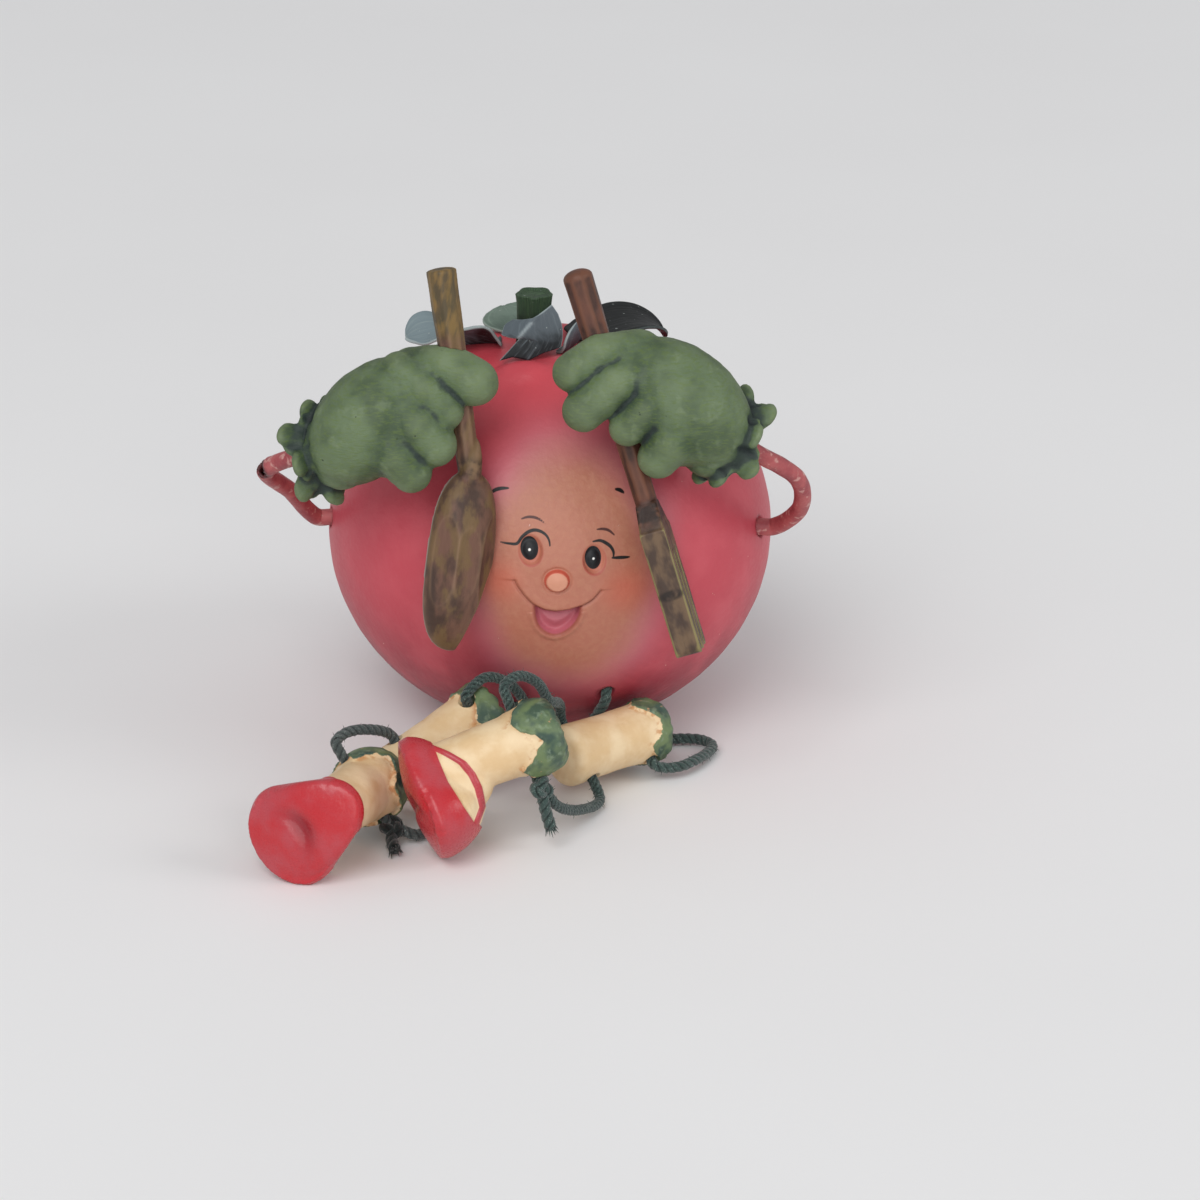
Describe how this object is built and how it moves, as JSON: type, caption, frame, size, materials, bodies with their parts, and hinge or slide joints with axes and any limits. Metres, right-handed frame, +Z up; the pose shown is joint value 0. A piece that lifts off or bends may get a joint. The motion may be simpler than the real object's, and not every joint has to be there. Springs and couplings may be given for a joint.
{
  "type": "shelf sitter figure",
  "caption": "Round tomato shelf sitter with a painted face, leafy crown, green gloves on bendable wire arms holding a spoon and a fork, and jointed legs hung on cord.",
  "frame": {"origin": "middle of the flat underside that the body sits on", "axes": "+Z up; the face looks along -Y; +X to the viewer's right"},
  "size_m": [0.0665, 0.0829, 0.0637],
  "materials": {
    "tomato": "hand-painted cast resin, satin",
    "leaf": "painted cast resin, satin",
    "glove": "painted cast resin, matte",
    "spoon_wood": "stained, carved facets",
    "fork_wood": "stained, carved facets",
    "sleeve": "soft plastic tube",
    "wire": "blackened",
    "leg": "cast resin, painted shoes and leafy ends",
    "cord": "braided string"
  },
  "bodies": {
    "figure": {"tomato_body": "tomato", "sepal_front": "leaf", "sepal_front_right": "leaf", "sepal_right": "leaf", "sepal_back": "leaf", "sepal_left": "leaf", "stem": "leaf", "hip_cord_left": "cord", "hip_cord_right": "cord"},
    "arm_left": {"arm_sleeve_left": "sleeve", "arm_wire_left": "wire", "glove_left": "glove", "spoon": "spoon_wood"},
    "arm_right": {"arm_sleeve_right": "sleeve", "arm_wire_right": "wire", "glove_right": "glove", "fork": "fork_wood"},
    "thigh_left": {"thigh_left": "leg", "knee_cord_left": "cord"},
    "shin_left": {"shin_left": "leg"},
    "thigh_right": {"thigh_right": "leg", "knee_cord_right": "cord"},
    "shin_right": {"shin_right": "leg"}
  },
  "joints": [
    {"name": "arm_left_swing", "type": "hinge", "parent": "figure", "child": "arm_left", "pos_m": [-0.0268, -0.004, 0.02591], "axis": [1, 0, 0], "range_deg": [-15, 10]},
    {"name": "arm_right_swing", "type": "hinge", "parent": "figure", "child": "arm_right", "pos_m": [0.02563, -0.0086, 0.02641], "axis": [1, 0, 0], "range_deg": [-20, 20]},
    {"name": "hip_left_swing", "type": "hinge", "parent": "figure", "child": "thigh_left", "pos_m": [-0.006, -0.026, 0.011], "axis": [0.5, -0.74, -0.45], "range_deg": [0, 80], "deforming": ["hip_cord_left"]},
    {"name": "hip_right_swing", "type": "hinge", "parent": "figure", "child": "thigh_right", "pos_m": [0.011, -0.021, 0.006], "axis": [0.6006, -0.6606, 0.4504], "range_deg": [-10, 80], "deforming": ["hip_cord_right"]},
    {"name": "knee_left_swing", "type": "hinge", "parent": "thigh_left", "child": "shin_left", "pos_m": [-0.0192, -0.0367, 0.0052], "axis": [0, 0, -1], "range_deg": [0, 60], "deforming": ["knee_cord_left"]},
    {"name": "knee_right_swing", "type": "hinge", "parent": "thigh_right", "child": "shin_right", "pos_m": [0.0015, -0.0344, 0.009], "axis": [-0.3397, 0.3337, 0.8793], "range_deg": [0, 60], "deforming": ["knee_cord_right"]}
  ]
}
